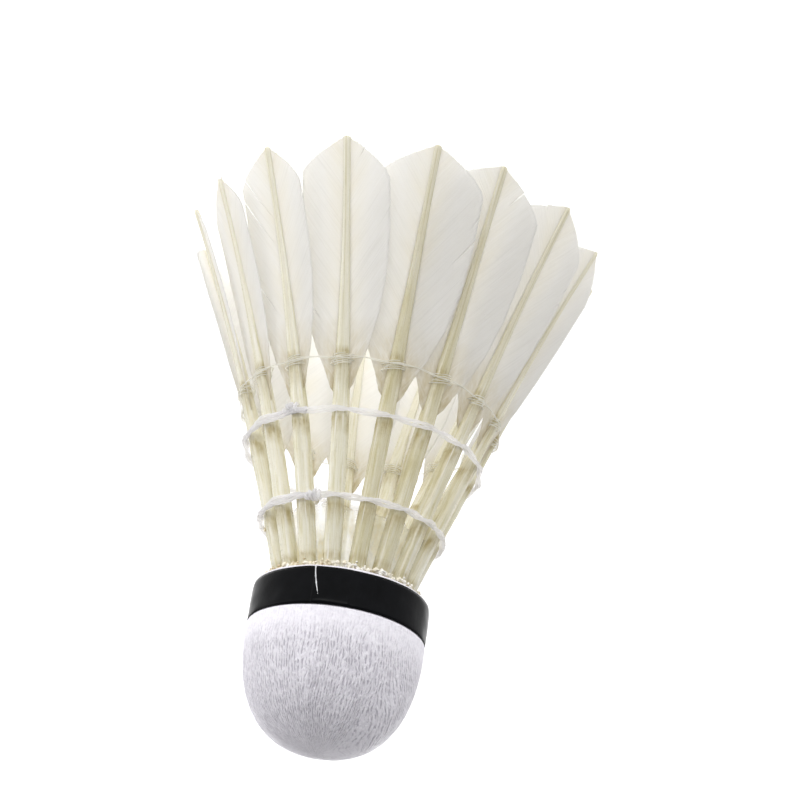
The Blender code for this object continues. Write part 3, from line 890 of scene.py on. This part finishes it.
def add_glue_films(material):
    """The thin glue that hangs between the quills below the lower thread, highest at each quill."""
    dice = np.random.default_rng(33)
    heap = Heap()
    columns, rows = 13, 12
    across = np.linspace(0.0, 1.0, columns)[None, :]
    down = np.linspace(0.0, 1.0, rows)[:, None]
    sheet = grid_faces(rows, columns)
    # the points along the sheet's edge, once round
    index = np.arange(rows * columns).reshape(rows, columns)
    edge = [*index[0], *index[1:, -1], *index[-1, -2::-1], *index[-2:0:-1, 0]]
    back = rows * columns
    rim = [[before, here, here + back, before + back] for before, here in zip(edge[-1:] + edge, edge)]
    faces = sheet.tolist() + (sheet[:, ::-1] + back).tolist() + rim
    for number in range(1, FEATHER_COUNT + 1):
        tall = dice.uniform(0.0100, 0.0106, 2)
        sag = dice.uniform(0.02, 0.12)
        reach = tall[0] + (tall[1] - tall[0]) * across
        reach = reach * (1.0 - sag * np.sin(math.pi * across) ** 0.8)
        reach = reach + 0.0004 * noise(across * 5.0, number * 1.7, 34)
        height = CORK_FACE_Z - 0.0001 - down * np.clip(reach, 0.0006, FILM_REACH)
        here = place_feather(number, height, 0.0, 0.0)
        following = place_feather(number % FEATHER_COUNT + 1, height, 0.0, 0.0)
        middle = here + (following - here) * across[..., None]
        outward = middle * np.array([1.0, 1.0, 0.0])
        outward /= np.linalg.norm(outward, axis=-1, keepdims=True)
        ripple = 0.00012 * noise(across * 3.0, height / 0.002, 35, z=number) - 0.0002
        thick = 0.00003 + 0.0004 * (2.0 * across - 1.0) ** 6 * (1.0 - 0.7 * down)
        sides = [middle + outward * offset[..., None] for offset in (ripple + thick, ripple - thick)]
        spots = pairs(number + across, height / MM)
        heap.add(np.stack(sides), faces, np.stack([spots, spots]))
    return heap.build("glue_films", material)


# --- base ---


def dome_profile(share, radius=BASE_RADIUS, tall=DOME_HEIGHT):
    """Radius and height on the rounded end, from its edge at 0 to the nose at 1."""
    angle = 0.25 * TURN * share
    power = 2.0 / DOME_EXPONENT
    return radius * np.maximum(np.cos(angle), 0.0) ** power, DOME_START_Z + tall * np.sin(angle) ** power


def even_shares(count):
    """Shares that step evenly along the dome's outline, and its length."""
    fine = np.linspace(0.0, 1.0, 4001)
    radius, height = dome_profile(fine)
    run = np.concatenate([[0.0], np.cumsum(np.hypot(np.diff(radius), np.diff(height)))])
    return np.interp(np.linspace(0.0, run[-1], count), run, fine), run[-1]


def crease_across(azimuth, run):
    """Counts creases round the base. Away from the camera's side of it they lean over."""
    facing = azimuth - CREASE_AZIMUTH
    slant = 1500.0 * np.sin(0.5 * facing + 2.5) ** 8 * smoothstep(run, 0.0, 0.010)
    bend = 0.8 * ring_noise(azimuth, 26, run / 0.005, 27)
    return CREASES * azimuth / TURN + bend + slant * run


def wrinkle(azimuth, run, length):
    """Relief of the stretched leather: pads between creases that run along the axis."""
    across = 0.55 * crease_across(azimuth, run)
    pads = noise(across, run / 0.0016, 21)
    lines = noise(across + 7.0, run / 0.0021, 28)
    grooves = 1.0 - smoothstep(np.abs(lines), 0.0, 0.35)
    pebbles = ring_noise(azimuth, 280, run / 0.0003, 24)
    small = ring_noise(azimuth, 160, run / 0.0006, 22)
    folds = ring_noise(azimuth, 40, run / 0.0060, 23)
    middle = smoothstep(run, 0.0015, 0.0060) * (1.0 - 0.8 * smoothstep(run, 0.60 * length, 0.90 * length))
    near_band = 1.0 - smoothstep(run, 0.0030, 0.0070)
    relief = middle * (0.45 * pads - 0.50 * grooves) + near_band * (0.35 * small + 0.30 * pebbles)
    return relief + 0.14 * pebbles + 0.10 * folds


def add_leather(material):
    """The cover: one thin closed skin with its creases in the mesh."""
    sides, rows, inner_rows = 560, 150, 14
    azimuth = turn_steps(sides)
    inner_size = (LEATHER_WAIST_RADIUS - LEATHER_THICKNESS, DOME_HEIGHT - LEATHER_THICKNESS)
    inner = []
    for i in range(inner_rows):
        inner.append(ring_points(azimuth, *dome_profile(1.0 - (i + 0.5) / inner_rows, *inner_size)))
    inner.append(ring_points(azimuth, inner_size[0], CORK_FACE_Z))
    under_tape = (CORK_FACE_Z, CORK_FACE_Z + 0.0030, TAPE_END_Z + 0.00005)
    outer = [ring_points(azimuth, LEATHER_WAIST_RADIUS, height) for height in under_tape]
    reliefs = [np.full(sides, SMOOTH_RELIEF)] * (len(inner) + len(outer))
    spots = [pairs(crease_across(azimuth, 0.0), 0.0)] * len(outer)
    shares, length = even_shares(rows + 1)
    for i, share in enumerate(shares[:-1]):
        run = length * i / rows
        relief = wrinkle(azimuth, run, length)
        push = CREASE_DEPTH * relief * smoothstep(1.0 - share, 0.0, 0.12)
        before = np.array(dome_profile(max(share - 1e-4, 0.0)))
        wide, tall = np.array(dome_profile(min(share + 1e-4, 1.0))) - before
        steep = math.hypot(wide, tall)
        radius, height = dome_profile(share)
        outer.append(ring_points(azimuth, radius + push * tall / steep, height - push * wide / steep))
        # this relief also sets the painted shade in the leather's colour
        reliefs.append(0.55 + 0.5 * relief)
        spots.append(pairs(crease_across(azimuth, run), run / MM))
    spots = [spots[-1]] * len(inner) + spots + [spots[-1][:1]] * 2
    nose = DOME_START_Z + DOME_HEIGHT
    poles = [[0.0, 0.0, nose - LEATHER_THICKNESS], [0.0, 0.0, nose]]
    faces = ring_faces(len(inner) + len(outer), sides, "poles")
    points = np.concatenate([*inner, *outer, poles])
    relief = np.concatenate([*reliefs, [SMOOTH_RELIEF, SMOOTH_RELIEF]])
    return add_object("leather_skin", points, faces, material, np.concatenate(spots), relief, CREASES)


def add_tape(material):
    """A band of film tape with soft edges, whose end laps over its start."""
    azimuth = turn_steps(720)
    off = (azimuth - TAPE_LAP_AZIMUTH + math.pi) % TURN - math.pi
    lap = smoothstep(off, -0.42, -0.40) * (1.0 - smoothstep(off, 0.0, 0.012))
    edge_wave = 0.00006 * ring_noise(azimuth, 20, 0.0, 31)
    rings = []
    for share in np.linspace(0.0, 1.0, 15):
        full = 1.0 - abs(2.0 * share - 1.0) ** 10
        height = TAPE_START_Z + (TAPE_END_Z - TAPE_START_Z) * share + edge_wave * (1.0 - share)
        swell = 0.000045 * ring_noise(azimuth, 40, share * 4.0, 33)
        rise = swell + TAPE_LAP_RISE * lap * (0.4 + 0.6 * full) - TAPE_THICKNESS * 0.5 * (1.0 - full)
        rings.append(ring_points(azimuth, BASE_RADIUS + rise, height))
    for height in (TAPE_END_Z - 0.0001, TAPE_START_Z + 0.0001):
        rings.append(ring_points(azimuth, BASE_RADIUS - TAPE_THICKNESS, height))
    faces = ring_faces(len(rings), len(azimuth), "joined")
    return add_object("tape_band", np.stack(rings), faces, material)


def add_lap_edge(material):
    """A thin raised strip along the tape's cut end, whose pale colour is a painted highlight standing in for
    the lap edge's reflection.
    """
    heap = Heap()
    share = np.linspace(0.0, 1.0, 40)
    azimuth = TAPE_LAP_AZIMUTH + 0.004 - 0.072 * share**1.4
    height = TAPE_START_Z + 0.0001 + (TAPE_END_Z - TAPE_START_Z) * 0.74 * share
    thick = 0.00011 * (1.0 - 0.60 * share**4) * (1.0 + 0.30 * noise(share * 14.0, 0.0, 8))
    tube(heap, ring_points(azimuth, BASE_RADIUS + 0.00009 + 0.00003 * share**2, height), thick)
    return heap.build("tape_lap_edge", material)


# --- studio ---


def add_floor():
    under = (0.0, 0.0, -0.0002)  # just clear of the feather tips
    bpy.ops.mesh.primitive_grid_add(x_subdivisions=8, y_subdivisions=8, size=4.0, location=under)
    floor = bpy.context.object
    floor.name = "studio_floor"
    m = Nodes("pale_floor")
    colour = m.ramp(m.grain(3.0, 2.0, 0.55), (0.3, 0.86, 0.86, 0.865), (0.7, 0.88, 0.88, 0.88))
    light = {"Emission Color": (1.0, 1.0, 1.0), "Emission Strength": 0.80}
    floor.data.materials.append(m.finish(colour, 0.9, Specular_IOR_Level=0.1, **light))


def stand(name, data, aim, azimuth, elevation, distance, roll=0.0):
    """A light or camera that faces its aim. The azimuth counts from +X towards +Y."""
    obj = bpy.data.objects.new(name, data)
    bpy.context.scene.collection.objects.link(obj)
    level = math.cos(elevation)
    back = Vector((math.cos(azimuth) * level, math.sin(azimuth) * level, math.sin(elevation)))
    facing = (-back).to_track_quat("-Z", "Y").to_matrix() @ Matrix.Rotation(roll, 3, "Z")
    obj.matrix_world = Matrix.Translation(aim + back * distance) @ facing.to_4x4()
    return obj


def add_light(name, azimuth, elevation, size, power):
    """A soft box, size wide and high, that faces the object from a direction in degrees."""
    light = bpy.data.lights.new(name, "AREA")
    light.shape = "RECTANGLE"
    light.size, light.size_y = size
    light.energy = power
    azimuth, elevation = math.radians(azimuth), math.radians(elevation)
    stand(name, light, LIGHT_AIM, azimuth, elevation, LIGHT_DISTANCE).visible_camera = False


def add_world():
    """An even pale surround, dimmer on one side so that round shapes read."""
    world = bpy.data.worlds.new("studio")
    world.use_nodes = True
    bpy.context.scene.world = world
    nodes, links = world.node_tree.nodes, world.node_tree.links
    background = nodes["Background"]
    place = nodes.new("ShaderNodeTexCoord")
    dot = nodes.new("ShaderNodeVectorMath")
    dot.operation = "DOT_PRODUCT"
    dot.inputs[1].default_value = Vector((0.56, 0.13, 0.82)).normalized()
    ramp = nodes.new("ShaderNodeMapRange")
    for key, value in (("From Min", 0.0), ("From Max", 0.58), ("To Min", 1.20), ("To Max", 0.28)):
        ramp.inputs[key].default_value = value
    links.new(place.outputs["Generated"], dot.inputs[0])
    links.new(dot.outputs["Value"], ramp.inputs["Value"])
    links.new(ramp.outputs["Result"], background.inputs["Strength"])
    background.inputs["Color"].default_value = (1.0, 0.995, 1.0, 1.0)


def add_camera():
    camera = bpy.data.cameras.new("camera")
    camera.sensor_width = 36.0
    camera.lens = CAMERA_LENS
    camera.clip_start = 0.01
    camera.clip_end = 20.0
    place = (CAMERA_AIM, CAMERA_AZIMUTH, CAMERA_ELEVATION, CAMERA_DISTANCE, CAMERA_ROLL)
    bpy.context.scene.camera = stand("camera", camera, *place)


def add_studio():
    add_floor()
    add_world()
    add_light("front", 40.0, 1.0, (0.60, 0.10), 1.0)
    add_light("left", 115.0, 2.0, (0.50, 0.12), 0.42)
    add_light("back", 212.0, 2.0, (0.60, 0.12), 1.2)
    add_camera()
    bpy.context.scene.view_settings.view_transform = "Standard"


def main():
    add_feathers(vane_material(), shaft_material())
    cotton = thread_material()
    upper = add_cord("upper_cord", UPPER_THREAD_Z, cotton, UPPER_KNOT, 301)
    settle(upper, "upper_thread")
    lower = add_cord("lower_cord", LOWER_THREAD_Z, cotton, LOWER_KNOT, 402)
    settle(lower, "lower_thread")
    settle(add_overlap_thread(fine_thread_material()), "overlap_thread")
    settle(add_glue_films(glue_film_material()), "glue_fillet")
    settle(add_glue(glue_material()), "glue_fillet")
    settle(add_tape(tape_material()), "band_tape")
    settle(add_lap_edge(lap_highlight_material()), "band_tape")
    leather = settle(add_leather(leather_material()), "leather_cover")
    for node, scale, specks in (("cork_core", 900.0, 0.8), ("cork_disc", 1500.0, 0.5)):
        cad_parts[node].data.materials[0] = cork_material("procedural_" + node, scale, specks)
    add_studio()


main()
